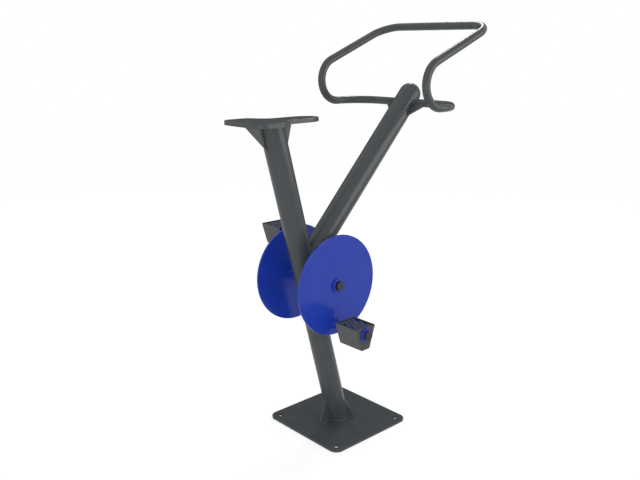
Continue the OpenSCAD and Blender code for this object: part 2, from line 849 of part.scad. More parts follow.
// Lays a section drawn in X and Z along the spindle, between two distances from the middle
module pedal_extrude(from_y, to_y) {
    translate([0, to_y, 0]) rotate([90, 0, 0]) linear_extrude(to_y - from_y) children();
}

module at_pedal(side) {
    on_side(side) at_spindle(side) children();
}

// Folded trough between the two end plates
module pedal_shell(side) {
    color(coat_pedal) at_pedal(side)
        pedal_extrude(pedal_in_y + pedal_sheet, pedal_out_y - pedal_sheet) difference() {
            pedal_outline(0);
            pedal_outline(pedal_sheet);
            translate([-pedal_top_w / 2 + pedal_sheet / cos(pedal_slope), pedal_top - cut])
                square([pedal_top_w - 2 * pedal_sheet / cos(pedal_slope), cut]);
        }
}

module pedal_end_plates(side) {
    color(coat_pedal) at_pedal(side) difference() {
        for (y = [pedal_in_y, pedal_out_y - pedal_sheet])
            pedal_extrude(y, y + pedal_sheet) pedal_outline(0);
        along_y() translate([0, 0, pedal_in_y - cut])
            cylinder(r = barrel_r + weld_gap, h = pedal_len + 2 * cut);
    }
}

// Perforated tread: staggered holes, each with a raised collar that grips the sole
module pedal_tread(side) {
    under_z = tread_top - tread_t;
    half_w = pedal_top_w / 2 - (pedal_top - under_z) * tan(pedal_slope)
        - pedal_sheet / cos(pedal_slope) - weld_gap;
    from_y = pedal_in_y + pedal_sheet + weld_gap;
    length = pedal_len - 2 * (pedal_sheet + weld_gap);
    hole_r = tread_hole_d / 2;
    collar_r = hole_r + tread_collar_w;
    rows = floor((length - 2 * tread_margin) / tread_pitch) + 1;
    columns = floor((2 * half_w - 2 * tread_margin) / tread_pitch) + 1;
    centre_y = from_y + length / 2;
    spots = [
        for (j = [0 : rows - 1]) for (i = [0 : columns - 1 - j % 2]) [
            (i - (columns - 1 - j % 2) / 2) * tread_pitch,
            centre_y + (j - (rows - 1) / 2) * tread_pitch
        ]
    ];
    color(coat_pedal) at_pedal(side) difference() {
        union() {
            translate([-half_w, from_y, under_z]) cube([2 * half_w, length, tread_t]);
            for (p = spots) translate([p[0], p[1], tread_top - tread_t / 2]) cylinder(
                r1 = collar_r, r2 = collar_r - tread_collar_slope,
                h = tread_collar_h + tread_t / 2);
        }
        for (p = spots) translate([p[0], p[1], under_z - cut])
            cylinder(r = hole_r, h = tread_t + tread_collar_h + 2 * cut);
    }
}

// Cross tube that holds the bushes, with a blue ring outside the outer end plate
module pedal_barrel(side) {
    color(coat_blue) at_pedal(side) along_y() rotate_extrude() polygon([
        [bush_r + press_gap, barrel_in_y],
        [barrel_r, barrel_in_y],
        [barrel_r, pedal_out_y],
        [pedal_ring_d / 2, pedal_out_y],
        [pedal_ring_d / 2, pedal_out_y + pedal_ring_h - edge_chamfer],
        [pedal_ring_d / 2 - edge_chamfer, pedal_out_y + pedal_ring_h],
        [bush_r + press_gap, pedal_out_y + pedal_ring_h]
    ]);
}

module pedal_bushes(side) {
    outer_y = end_shoulder_y - thrust_gap - bush_len;
    color(bronze) at_pedal(side)
        for (y = [barrel_in_y, outer_y])
            ring(bush_r, spindle_d / 2 + run_gap, y, y + bush_len);
}

// Push-in cap: a skirt in the barrel's bore and a rounded head on its ring
module pedal_cap(side) {
    base_y = pedal_out_y + pedal_ring_h;
    face_y = base_y + pedal_cap_h;
    skirt_r = bush_r - run_gap;
    color(cap_black) at_pedal(side) along_y() rotate_extrude() polygon(concat(
        [
            [skirt_r - cap_skirt_wall, base_y - cap_skirt_len],
            [skirt_r, base_y - cap_skirt_len],
            [skirt_r, base_y],
            [cap_d / 2, base_y]
        ],
        arc(cap_d / 2 - cap_edge_r, face_y - cap_edge_r, cap_edge_r, cap_edge_r, 0, 90),
        [[0, face_y], [0, face_y - cap_wall], [skirt_r - cap_skirt_wall, face_y - cap_wall]]
    ));
}

module pedal_shell_right() pedal_shell(-1);
module pedal_end_plates_right() pedal_end_plates(-1);
module pedal_tread_right() pedal_tread(-1);
module pedal_barrel_right() pedal_barrel(-1);
module pedal_bushes_right() pedal_bushes(-1);
module pedal_cap_right() pedal_cap(-1);
module pedal_shell_left() pedal_shell(1);
module pedal_end_plates_left() pedal_end_plates(1);
module pedal_tread_left() pedal_tread(1);
module pedal_barrel_left() pedal_barrel(1);
module pedal_bushes_left() pedal_bushes(1);
module pedal_cap_left() pedal_cap(1);

base_plate();
base_ribs();
seat_post();
front_tube();
front_tube_cap();
handlebar();
handlebar_gussets();
seat_pan();
seat_mount_bar();
seat_gussets();
bearing_housing();
bearing_outer_rings();
bearing_balls();
bearing_shields();
housing_circlips();
dust_seals();
crank_axle();
bearing_inner_rings();
bearing_spacer();
axle_keys();
crank_hub_right();
crank_hub_left();
crank_disc_right();
crank_disc_left();
axle_washers();
axle_bolts();
hub_caps();
pedal_spindle_right();
pedal_spindle_left();
spindle_washers();
spindle_nuts();
pedal_thrust_washers();
pedal_nuts();
pedal_shell_right();
pedal_end_plates_right();
pedal_tread_right();
pedal_barrel_right();
pedal_bushes_right();
pedal_cap_right();
pedal_shell_left();
pedal_end_plates_left();
pedal_tread_left();
pedal_barrel_left();
pedal_bushes_left();
pedal_cap_left();
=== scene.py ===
"""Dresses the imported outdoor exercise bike: rounded edges, welds, finishes and a plain studio.

Lengths in the bike's classes are millimetres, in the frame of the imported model: X points
forwards, Y to the rider's left and Z up, from the middle of the floor plate's underside.
Lengths in the studio's classes are metres.
"""

import json
import logging
import math
from dataclasses import dataclass, replace
from enum import Enum

import bmesh
import bpy
import numpy as np
from bpy.types import ID, Material, Node, NodeSocket, NodeTree, Object
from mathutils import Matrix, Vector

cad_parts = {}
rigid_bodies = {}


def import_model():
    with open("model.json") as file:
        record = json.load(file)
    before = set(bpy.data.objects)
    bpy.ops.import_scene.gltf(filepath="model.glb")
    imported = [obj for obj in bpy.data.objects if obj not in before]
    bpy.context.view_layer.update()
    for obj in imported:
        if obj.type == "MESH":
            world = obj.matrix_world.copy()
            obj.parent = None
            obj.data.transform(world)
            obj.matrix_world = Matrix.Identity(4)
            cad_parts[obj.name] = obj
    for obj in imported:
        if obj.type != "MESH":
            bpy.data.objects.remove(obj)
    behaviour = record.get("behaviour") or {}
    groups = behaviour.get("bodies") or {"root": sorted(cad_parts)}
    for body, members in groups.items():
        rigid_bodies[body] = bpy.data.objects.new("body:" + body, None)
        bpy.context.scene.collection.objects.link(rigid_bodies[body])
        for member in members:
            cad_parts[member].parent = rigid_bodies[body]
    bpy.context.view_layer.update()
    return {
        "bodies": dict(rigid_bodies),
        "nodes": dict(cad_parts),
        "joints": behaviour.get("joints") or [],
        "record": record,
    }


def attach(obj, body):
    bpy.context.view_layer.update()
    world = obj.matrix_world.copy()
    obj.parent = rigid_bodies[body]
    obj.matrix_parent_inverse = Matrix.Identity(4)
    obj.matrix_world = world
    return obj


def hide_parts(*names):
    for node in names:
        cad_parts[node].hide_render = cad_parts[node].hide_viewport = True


MM = 0.001
X, Y, Z = np.eye(3)
WHITE = (1.0, 1.0, 1.0, 1.0)
LOG = logging.getLogger("exercise_bike")
# Stands in for a length or a sine of nothing in a division.
TINY = 1e-9
# In metres: points closer than the first merge, and edges shorter than the others vanish, in a
# new surface and in a copy.
MERGE, NEW_SLIVER, COPY_SLIVER = 2e-6, 1e-7, 1e-6
# Edges of a new surface that turn by more than the first stay sharp in the shading. Faces of a
# copy that turn by less than the second are joined, and edges that turn by more than the third
# are rounded by the last number of faces.
SHARP_DEG, FLAT_DEG, BEVEL_DEG, BEVEL_FACES = 40.0, 0.4, 35.0, 3
# Most values of a noise texture lie between these two, so they are stretched to a whole range.
NOISE_SPREAD = (0.3, 0.7)


class Side(Enum):
    """The rider's two sides, as signs of Y."""

    LEFT = 1
    RIGHT = -1

    @property
    def word(self) -> str:
        """The side's name as it ends a node's name."""
        return self.name.lower()


class Slot(Enum):
    """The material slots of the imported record."""

    GREY = "grey_powder_coat"
    BLUE = "blue_powder_coat"
    PEDAL = "pedal_powder_coat"
    STEEL = "ground_steel"
    ZINC = "zinc_plate"
    BRONZE = "bronze"
    RUBBER = "seal_rubber"
    CAP = "black_cap_plastic"


def linear(code: str) -> tuple[float, float, float, float]:
    """Turns a sRGB hex colour into linear values, by the curve of the sRGB standard.

    Args:
        code: Six hex digits, such as "484c4f".

    Returns:
        Red, green, blue and an alpha of 1.
    """
    values = np.array([int(code[i : i + 2], 16) for i in (0, 2, 4)]) / 255
    parts = np.where(values <= 0.04045, values / 12.92, ((values + 0.055) / 1.055) ** 2.4)
    return (*parts.tolist(), 1.0)


def add_node(tree: NodeTree, kind: str, inputs: dict | None = None, **settings: object) -> Node:
    """Adds one node with its settings and links.

    Args:
        tree: The node tree.
        kind: The node's type.
        inputs: Socket names or numbers, each with a value or with the socket that feeds it.
        settings: The node's own properties.

    Returns:
        The new node.
    """
    node = tree.nodes.new(kind)
    for key, value in settings.items():
        setattr(node, key, value)
    for key, value in (inputs or {}).items():
        if isinstance(value, NodeSocket):
            tree.links.new(value, node.inputs[key])
        else:
            node.inputs[key].default_value = value
    return node


def blank_material(name: str) -> tuple[Material, NodeTree]:
    """Makes a material with an empty node tree.

    Args:
        name: The material's name.

    Returns:
        The material and its tree.
    """
    material = bpy.data.materials.new(name)
    material.use_nodes = True
    material.node_tree.nodes.clear()
    return material, material.node_tree


def placed(name: str, data: ID) -> Object:
    """Puts data into the scene as a new object.

    Args:
        name: The object's name.
        data: Its mesh, lamp or camera.

    Returns:
        The new object, at the origin.
    """
    thing = bpy.data.objects.new(name, data)
    bpy.context.scene.collection.objects.link(thing)
    return thing


class Relief(Enum):
    """What makes the pattern of a finish's fine relief: a node's type and its output."""

    NOISE = ("ShaderNodeTexNoise", "Fac")
    CELLS = ("ShaderNodeTexVoronoi", "Distance")


@dataclass(frozen=True)
class Finish:
    """A finish: two close colours in soft patches, a gloss that follows them, a fine relief.

    Pattern sizes are real ones, in millimetres. Roughness gives the glossiest and the dullest
    value. A spread gives the two values of the patches' noise that are stretched to a whole
    range. Flecks make the colour lighter and darker by a share. A highlight colour, if given, is
    a painted highlight: it shows by the share that a point attribute of the piece gives.
    """

    name: str
    colour: str
    patch_colour: str
    roughness: tuple[float, float]
    specular: float = 0.5
    metallic: float = 0.0
    patch_mm: float = 60.0
    patch_detail: float = 3.0
    colour_spread: tuple[float, float] | None = None
    gloss_spread: tuple[float, float] = NOISE_SPREAD
    fleck_mm: float = 1.1
    fleck_detail: float = 1.0
    fleck_share: float = 0.0
    # A painted highlight's colour: pale paint where light would catch the piece.
    worn_colour: str = ""
    relief: Relief = Relief.NOISE
    relief_mm: float = 1.0
    relief_detail: float = 0.0
    relief_stretch: tuple[float, float, float] | None = None
    relief_depth_mm: float = 0.01
    relief_strength: float = 1.0

    def material(self) -> Material:
        """Returns the finish as a node material."""
        material, tree = blank_material(self.name)
        place = add_node(tree, "ShaderNodeTexCoord").outputs["Object"]
        patch = add_node(
            tree,
            "ShaderNodeTexNoise",
            {"Vector": place, "Scale": 1 / (self.patch_mm * MM), "Detail": self.patch_detail},
        ).outputs["Fac"]
        share = patch
        if self.colour_spread:
            low, high = self.colour_spread
            share = add_node(
                tree, "ShaderNodeMapRange", {"Value": patch, "From Min": low, "From Max": high}
            ).outputs["Result"]
        layers = [(share, self.patch_colour)]
        # A painted highlight: a lighter colour mixed in by the share in the piece's point
        # attribute.
        if self.worn_colour:
            worn = add_node(tree, "ShaderNodeAttribute", attribute_name="worn").outputs["Fac"]
            layers.append((worn, self.worn_colour))
        colour = linear(self.colour)
        for share, over in layers:
            colour = add_node(
                tree, "ShaderNodeMix", {0: share, 6: colour, 7: linear(over)}, data_type="RGBA"
            ).outputs[2]
        ranges = [(patch, self.gloss_spread, self.roughness)]
        if self.fleck_share:
            fleck = add_node(
                tree,
                "ShaderNodeTexNoise",
                {"Vector": place, "Scale": 1 / (self.fleck_mm * MM), "Detail": self.fleck_detail},
            ).outputs["Fac"]
            ranges.append((fleck, NOISE_SPREAD, (1 - self.fleck_share, 1 + self.fleck_share)))
        rough, *flecked = (
            add_node(
                tree,
                "ShaderNodeMapRange",
                {"Value": value, "From Min": a, "From Max": b, "To Min": c, "To Max": d},
            ).outputs["Result"]
            for value, (a, b), (c, d) in ranges
        )
        for factor in flecked:
            colour = add_node(
                tree, "ShaderNodeVectorMath", {0: colour, 1: factor}, operation="MULTIPLY"
            ).outputs["Vector"]
        if self.relief_stretch:
            place = add_node(
                tree, "ShaderNodeMapping", {"Vector": place, "Scale": self.relief_stretch}
            ).outputs["Vector"]
        kind, output = self.relief.value
        scale = 1 / (self.relief_mm * MM)
        height = add_node(
            tree, kind, {"Vector": place, "Scale": scale, "Detail": self.relief_detail}
        ).outputs[output]
        depth, strength = self.relief_depth_mm * MM, self.relief_strength
        bump = add_node(
            tree, "ShaderNodeBump", {"Height": height, "Distance": depth, "Strength": strength}
        ).outputs["Normal"]
        shader = add_node(
            tree,
            "ShaderNodeBsdfPrincipled",
            {
                "Base Color": colour,
                "Roughness": rough,
                "Specular IOR Level": self.specular,
                "Metallic": self.metallic,
                "Normal": bump,
            },
        )
        add_node(tree, "ShaderNodeOutputMaterial", {"Surface": shader.outputs["BSDF"]})
        return material


@dataclass(frozen=True)
class PowderCoat(Finish):
    """Polyester powder, sprayed and baked on steel.

    To the eye: one even colour with a faint orange peel, slightly clouded where the layer is
    thicker, and a clean highlight that spreads with the coat's roughness.
    """

    patch_detail: float = 4.0
    colour_spread: tuple[float, float] | None = (0.35, 0.65)
    fleck_share: float = 0.1
    relief_mm: float = 2.2
    relief_detail: float = 2.0
    relief_depth_mm: float = 0.02


@dataclass(frozen=True)
class BareMetal(Finish):
    """Machined or plated metal.

    To the eye: a bright reflection, drawn out by fine tool marks that run round the crank's
    axis, with a slightly uneven polish.
    """

    metallic: float = 1.0
    patch_mm: float = 9.0
    patch_detail: float = 5.0
    relief_mm: float = 0.9
    relief_detail: float = 3.0
    relief_stretch: tuple[float, float, float] | None = (0.02, 1.0, 0.02)
    relief_depth_mm: float = 0.008


@dataclass(frozen=True)
class Polymer(Finish):
    """Moulded plastic or rubber.

    To the eye: a soft dark surface with a fine spark-eroded grain and small changes in gloss.
    """

    gloss_spread: tuple[float, float] = (0.0, 1.0)
    relief: Relief = Relief.CELLS
    relief_strength: float = 0.6


FINISHES = {
    Slot.GREY: PowderCoat(
        "satin_anthracite_powder_coat", "464a4c", "4a4d4f", (0.21, 0.25), 0.22,
        fleck_share=0.06, relief_depth_mm=0.004,
    ),
    Slot.BLUE: PowderCoat(
        "gloss_blue_powder_coat", "1d3aa9", "203dac", (0.17, 0.23), 0.32,
        fleck_share=0.04, relief_mm=3.0,
    ),
    Slot.PEDAL: PowderCoat(
        "satin_grey_pedal_powder_coat", "424346", "46484b", (0.27, 0.33), 0.3
    ),
    Slot.STEEL: BareMetal("ground_bearing_steel", "c6c7c8", "b3b4b6", (0.192, 0.3)),
    Slot.ZINC: BareMetal("bright_zinc_plated_steel", "bcc1c4", "a9aeb0", (0.256, 0.4)),
    Slot.BRONZE: BareMetal("sintered_bronze", "b98a52", "9c7443", (0.336, 0.525)),
    Slot.RUBBER: Polymer(
        "moulded_nitrile_rubber", "17181a", "202123", (0.527, 0.713),
        patch_mm=8.4, relief_mm=0.7, relief_depth_mm=0.02,
    ),
    Slot.CAP: Polymer(
        "moulded_black_polyethylene", "11100b", "16150f", (0.425, 0.575),
        patch_mm=7.2, relief_mm=0.6, relief_depth_mm=0.012,
    ),
}
# The treads' coat is painted darker and bluer between the collars, as painted shade, and pale
# on the collars' tops, as a painted highlight.
TREAD_WITH_PAINTED_LIGHT = PowderCoat(
    "worn_blue_grey_tread_coat", "1c2040", "242949", (0.29, 0.39), 0.3,
    patch_mm=12.0, worn_colour="6c7187",
)


class Workshop:
    """The CAD nodes and the finished materials, with the ways to dress nodes and pieces."""

    def __init__(self, frame: dict) -> None:
        self.nodes = frame["nodes"]
        finishes = (*FINISHES.values(), TREAD_WITH_PAINTED_LIGHT)
        self.materials = {finish: finish.material() for finish in finishes}

    def on_nodes(self, slot: Slot, *names: str) -> None:
        """Gives CAD nodes their finish and leaves their meshes alone.

        Args:
            slot: The slot whose finish they get.
            names: The nodes' names.
        """
        finish = FINISHES[slot]
        for name in names:
            materials = self.nodes[name].data.materials
            materials.clear()
            materials.append(self.materials[finish])
            LOG.info("CAD node %s: %s", name, finish.name)

    def on_piece(self, piece: Object, slot: Slot, body: str, *nodes: str) -> Object:
        """Gives a new piece its finish and its body, and hides the CAD nodes that it replaces.

        Args:
            piece: The new object.
            slot: The slot whose finish it gets.
            body: The body that it rides on.
            nodes: The CAD nodes that it replaces.

        Returns:
            The same object.
        """
        finish = FINISHES[slot]
        piece.data.materials.clear()
        piece.data.materials.append(self.materials[finish])
        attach(piece, body)
        if nodes:
            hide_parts(*nodes)
        LOG.info("piece %s on %s: %s", piece.name, body, finish.name)
        return piece

    def rounded(
        self, node: str, name: str, edge: float, slot: Slot = Slot.GREY, body: str = "frame"
    ) -> Object:
        """Replaces a CAD node by a copy whose sharp edges get a small radius.

        The copy's loose triangles are merged, flat faces are joined, and a Bevel rounds each
        sharp edge.

        Args:
            node: The CAD node to copy.
            name: The new piece's name.
            edge: The edge radius in millimetres.
            slot: The slot whose finish it gets.
            body: The body that it rides on.

        Returns:
            The new object, at the origin.
        """
        work = bmesh.new()
        work.from_mesh(self.nodes[node].data)
        bmesh.ops.remove_doubles(work, verts=work.verts, dist=MERGE)
        bmesh.ops.dissolve_degenerate(work, edges=work.edges, dist=COPY_SLIVER)
        bmesh.ops.dissolve_limit(
            work, angle_limit=math.radians(FLAT_DEG), verts=work.verts, edges=work.edges
        )
        mesh = bpy.data.meshes.new(name)
        work.to_mesh(mesh)
        work.free()
        mesh.shade_smooth()
        piece = placed(name, mesh)
        bevel = piece.modifiers.new("edges", "BEVEL")
        bevel.width = edge * MM
        bevel.segments = BEVEL_FACES
        bevel.limit_method = "ANGLE"
        bevel.angle_limit = math.radians(BEVEL_DEG)
        bevel.harden_normals = True
        bevel.miter_outer = "MITER_ARC"
        piece.modifiers.new("normals", "WEIGHTED_NORMAL").keep_sharp = True
        return self.on_piece(piece, slot, body, node)


@dataclass(frozen=True)
class Surface:
    """Points in millimetres and the four-sided faces that join them."""

    points: np.ndarray
    faces: np.ndarray

    def __add__(self, other: "Surface") -> "Surface":
        """Both surfaces as one: the other's faces count on from this one's points."""
        return Surface(
            np.concatenate([self.points, other.points]),
            np.concatenate([self.faces, other.faces + len(self.points)]),
        )

    def on(self, side: Side) -> "Surface":
        """The left side's surface, or on the right its mirror image: Y changes its sign."""
        if side is Side.LEFT:
            return self
        return Surface(self.points * (X - Y + Z), self.faces[:, ::-1])


def grid(points: np.ndarray, loop: bool = False) -> Surface:
    """Joins rows of points by faces. Each row closes on itself.

    Args:
        points: Rows by columns by three.
        loop: Whether the last row joins the first.

    Returns:
        The surface.
    """
    rows, columns = points.shape[:2]
    r = np.arange(rows if loop else rows - 1)[:, None]
    c = np.arange(columns)[None, :]
    r_next, c_next = (r + 1) % rows, (c + 1) % columns
    corners = ((r, c), (r, c_next), (r_next, c_next), (r_next, c))
    faces = np.stack([row * columns + column for row, column in corners], axis=-1)
    return Surface(points.reshape(-1, 3), faces.reshape(-1, 4))


def capped(rows: np.ndarray, tips: np.ndarray) -> Surface:
    """Joins rows of points by faces, and draws the first and the last row to a point.

    Args:
        rows: Rows by columns by three.
        tips: The points at both ends, two by three.

    Returns:
        The closed surface.
    """
    first, last = (np.broadcast_to(tip, rows[:1].shape) for tip in tips)
    return grid(np.concatenate([first, rows, last]))


def new_piece(name: str, surface: Surface) -> Object:
    """Puts a surface into a mesh, closes its seams and poles and turns its faces outwards.

    Args:
        name: The piece's name.
        surface: Its points and faces.

    Returns:
        The new object, at the origin.
    """
    mesh = bpy.data.meshes.new(name)
    mesh.from_pydata((surface.points * MM).tolist(), [], surface.faces.tolist())
    work = bmesh.new()
    work.from_mesh(mesh)
    bmesh.ops.remove_doubles(work, verts=work.verts, dist=MERGE)
    bmesh.ops.dissolve_degenerate(work, edges=work.edges, dist=NEW_SLIVER)
    bmesh.ops.recalc_face_normals(work, faces=work.faces)
    work.to_mesh(mesh)
    work.free()
    mesh.shade_smooth()
    mesh.set_sharp_from_angle(angle=math.radians(SHARP_DEG))
    return placed(name, mesh)


def unit(vectors: np.ndarray) -> np.ndarray:
    """Vectors along the last axis, brought to length 1."""
    return vectors / np.maximum(np.linalg.norm(vectors, axis=-1, keepdims=True), TINY)


def around(count: int) -> np.ndarray:
    """Angles at even steps round a circle."""
    return np.linspace(0, 2 * math.pi, count, endpoint=False)


def soften(corners: list[tuple[float, float, float]], steps: int = 5) -> np.ndarray:
    """Rounds the corners of a closed outline.

    At each corner an arc of its radius touches both sides: its centre lies on the corner's
    bisector, at radius over the sine of half the corner's angle. One more point on each side,
    past the arc by a fifth of the radius or a quarter of a millimetre at most, keeps the flat
    faces flat in the shading. A corner that hardly turns keeps one point.

    Args:
        corners: The outline's points, each with its radius.
        steps: Faces across each arc.

    Returns:
        The rounded outline: steps + 3 points for each corner, by 2.
    """
    rows = np.array(corners, float)
    points, r = rows[:, :2], rows[:, 2:]
    back = unit(np.roll(points, 1, axis=0) - points)
    ahead = unit(np.roll(points, -1, axis=0) - points)
    half = np.arccos(np.clip((back * ahead).sum(1, keepdims=True), -1, 1)) / 2
    reach = r / np.maximum(np.tan(half), TINY)
    middle = points + unit(back + ahead) * r / np.maximum(np.sin(half), TINY)
    start, stop = ((points + way * reach - middle)[:, None] for way in (back, ahead))
    share = np.linspace(0, 1, steps + 1)[None, :, None]
    turn = (math.pi - 2 * half)[:, None]
    arc = np.sin((1 - share) * turn) * start + np.sin(share * turn) * stop
    arc = arc / np.maximum(np.sin(turn), TINY)
    straight = turn < 1e-4
    arc = np.where(straight, start, arc) + middle[:, None]
    past = reach + np.minimum(0.25, 0.2 * r)
    first, last = ((points + way * past)[:, None] for way in (back, ahead))
    return np.concatenate([first, arc, last], axis=1).reshape(-1, 2)


def turned(outline: np.ndarray, centre: np.ndarray, sides: int) -> Surface:
    """Turns a closed outline round an axis along Y.

    A point at (distance from the middle plane, radius) goes to the centre plus the distance
    along Y plus the radius times (cosine, sine) of the angle in X and Z.

    Args:
        outline: Points as (y, radius), n by 2.
        centre: A point of the axis.
        sides: Faces round the axis.

    Returns:
        The closed surface.
    """
    angle = around(sides)[:, None]
    spokes = np.cos(angle) * X + np.sin(angle) * Z
    y, radius = outline[:, None, :1], np.maximum(outline[:, None, 1:], 0)
    return grid(centre + y * Y + radius * spokes, loop=True)


@dataclass(frozen=True)
class Straight:
    """A straight stretch of bent tube."""

    length: float
    spacing: float = 12.0

    def run(self, start: np.ndarray) -> np.ndarray:
        """Steps along the stretch: the point moves ahead, and the directions stay.

        Args:
            start: The point, the direction ahead and a direction across, 3 by 3.

        Returns:
            The same three at each step, n by 3 by 3.
        """
        count = max(2, round(self.length / self.spacing))
        along = np.linspace(0, self.length, count)[:, None, None]
        return start + along * (X[:, None] * start[1])


@dataclass(frozen=True)
class Bend:
    """A bend of bent tube, about an axis, by an angle."""

    axis: tuple[float, float, float]
    radius: float
    turn_deg: float
    step_deg: float = 3.0

    def run(self, start: np.ndarray) -> np.ndarray:
        """Steps along the bend: the point's arm from the centre and the directions all turn.

        What is across the axis is split into itself times the cosine and its quarter turn times
        the sine, and what is along the axis stays.

        Args:
            start: The point, the direction ahead and a direction across, 3 by 3.

        Returns:
            The same three at each step, n by 3 by 3.
        """
        axis = np.array(self.axis)
        arm = -self.radius * np.cross(axis, start[1])
        centre = X[:, None] * (start[0] - arm)
        arms = start - centre
        count = max(3, round(self.turn_deg / self.step_deg) + 1)
        angle = np.radians(np.linspace(0, self.turn_deg, count))[:, None, None]
        c, s = np.cos(angle), np.sin(angle)
        along = (arms @ axis)[:, None] * axis
        return centre + arms * c + np.cross(axis, arms) * s + along * (1 - c)


def bent_tube(
    stretches: list[Straight | Bend], start: np.ndarray, radius: float, sides: int
) -> Surface:
    """Carries a circle along straights and bends, and closes both ends.

    Each stretch starts where the last one ended, with its directions. The circle's point at an
    angle is the path's point plus the radius times (cosine of side, sine of side's quarter
    turn).

    Args:
        stretches: The stretches in order.
        start: The first point, the direction ahead and a direction across, 3 by 3.
        radius: The tube's radius.
        sides: Faces round the tube.

    Returns:
        The closed surface.
    """
    runs = []
    for stretch in stretches:
        run = stretch.run(start)
        runs.append(run[1:] if runs else run)
        start = run[-1]
    path, ahead, side = np.concatenate(runs).transpose(1, 0, 2)
    angle = around(sides)[None, :, None]
    circle = np.cos(angle) * side[:, None] + np.sin(angle) * np.cross(ahead, side)[:, None]
    return capped(path[:, None] + radius * circle, path[[0, -1]])


@dataclass(frozen=True)
class Tube:
    """A straight round tube: a point of its axis, its axis, and which way its front faces."""

    origin: np.ndarray
    axis: np.ndarray
    front: np.ndarray
    radius: float

    def outward(self, angle: np.ndarray) -> np.ndarray:
        """The outward direction at each angle from the front: cosine of front, sine of Y."""
        return np.cos(angle)[:, None] * self.front + np.sin(angle)[:, None] * Y

    def at(self, angle: np.ndarray, along: np.ndarray) -> np.ndarray:
        """The surface's points at angles from the front and distances along the axis."""
        return self.origin + along[:, None] * self.axis + self.radius * self.outward(angle)

    def normal(self, points: np.ndarray) -> np.ndarray:
        """The outward direction at points of the surface: what is left of them across the axis."""
        arm = points - self.origin
        return unit(arm - (arm @ self.axis)[:, None] * self.axis)


@dataclass(frozen=True)
class Weld:
    """A fillet weld laid along the line where two surfaces meet."""

    leg: float
    crown: float = 0.5
    sink: float = 0.5
    ripple_mm: float = 3.2
    ripple_share: float = 0.05
    face_points: int = 6

    def along(
        self,
        path: np.ndarray,
        normals: tuple[np.ndarray, np.ndarray],
        away: tuple[np.ndarray, np.ndarray],
        closed: bool = True,
    ) -> Surface:
        """Carries the weld's section along a line.

        The face runs from one leg's toe to the other's, as a straight mix of both plus a crown
        of a half sine, and the legs swell and shrink as a sine of the length, as the ripples of
        a welding torch do. The back sinks into the corner.

        Args:
            path: Points of the line, n by 3.
            normals: The outward directions of both surfaces, each 3 or n by 3.
            away: For each surface, the rough direction in it that leads away from the other.
            closed: Whether the line closes on itself.

        Returns:
            The closed surface.
        """
        if closed:
            ahead = unit(np.roll(path, -1, axis=0) - np.roll(path, 1, axis=0))
        else:
            ahead = unit(np.gradient(path, axis=0))
        flat = [np.broadcast_to(normal, path.shape) for normal in normals]
        toes = []
        for normal, lead in zip(flat, away):
            toe = unit(np.cross(ahead, normal))
            toes.append((toe if (toe * lead).sum() > 0 else -toe)[:, None])
        steps = np.linalg.norm(np.diff(path, axis=0), axis=1)
        length = np.concatenate([[0], np.cumsum(steps)])
        total = length[-1] + (np.linalg.norm(path[0] - path[-1]) if closed else 0)
        waves = max(1, round(total / self.ripple_mm))
        ripple = 1 + self.ripple_share * np.sin(2 * math.pi * waves * length / total)
        share = np.linspace(0, 1, self.face_points)[None, :, None]
        face = (self.leg * ripple)[:, None, None] * ((1 - share) * toes[0] + share * toes[1])
        face = face + self.crown * np.sin(math.pi * share) * unit(flat[0] + flat[1])[:, None]
        first, second = (-self.sink * normal[:, None] for normal in flat)
        section = [face[:, :1] + first, face, face[:, -1:] + second, (first + second) / 2]
        rows = path[:, None] + np.concatenate(section, axis=1)
        return grid(rows, loop=True) if closed else capped(rows, rows[[0, -1]].mean(1))


@dataclass(frozen=True)
class Layout:
    """Sizes and places that several sub-assemblies share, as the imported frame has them."""

    tube_r: float = 38.05
    lean_deg: float = 15.0
    forward_deg: float = 43.0
    post_foot_x: float = 3.0
    plate_top: float = 8.0
    axle_z: float = 558.8
    axle_ahead: float = 39.0
    housing_r: float = 30.15
    housing_clear: float = 2.5
    front_len: float = 734.0
    bar_below_end: float = 25.0
    bar_ahead: float = 14.2
    crank_r: float = 127.6
    crank_deg: float = 5.0

    @property
    def post(self) -> Tube:
        """The leaning post, from the plate's underside up."""
        a = math.radians(self.lean_deg)
        axis = -math.sin(a) * X + math.cos(a) * Z
        return Tube(self.post_foot_x * X, axis, math.cos(a) * X + math.sin(a) * Z, self.tube_r)

    @property
    def axle(self) -> np.ndarray:
        """The middle of the crank's axle."""
        a = math.radians(self.lean_deg)
        x = self.post_foot_x - self.axle_z * math.tan(a) + self.axle_ahead / math.cos(a)
        return x * X + self.axle_z * Z

    @property
    def front(self) -> Tube:
        """The front tube, from where its axis crosses the post's.

        Returns:
            The tube, with its front facing forwards.
        """
        a, b = math.radians(self.lean_deg), math.radians(self.forward_deg)
        off = self.tube_r + self.housing_r + self.housing_clear
        up = (off - self.axle_ahead * math.cos(a + b)) / math.sin(a + b)
        z = self.axle_z - self.axle_ahead * math.sin(a) + up * math.cos(a)
        origin = (self.post_foot_x - z * math.tan(a)) * X + z * Z
        axis = math.sin(b) * X + math.cos(b) * Z
        return Tube(origin, axis, math.cos(b) * X - math.sin(b) * Z, self.tube_r)

    @property
    def bar(self) -> np.ndarray:
        """The middle of the handlebar's crossbar."""
        front = self.front
        along = self.front_len - self.bar_below_end
        return front.origin + along * front.axis + self.bar_ahead * front.front

    def spindle(self, side: Side) -> np.ndarray:
        """The place of a pedal's spindle in the bike's middle plane."""
        a = math.radians(self.crank_deg)
        return self.axle + side.value * self.crank_r * (math.sin(a) * X + math.cos(a) * Z)


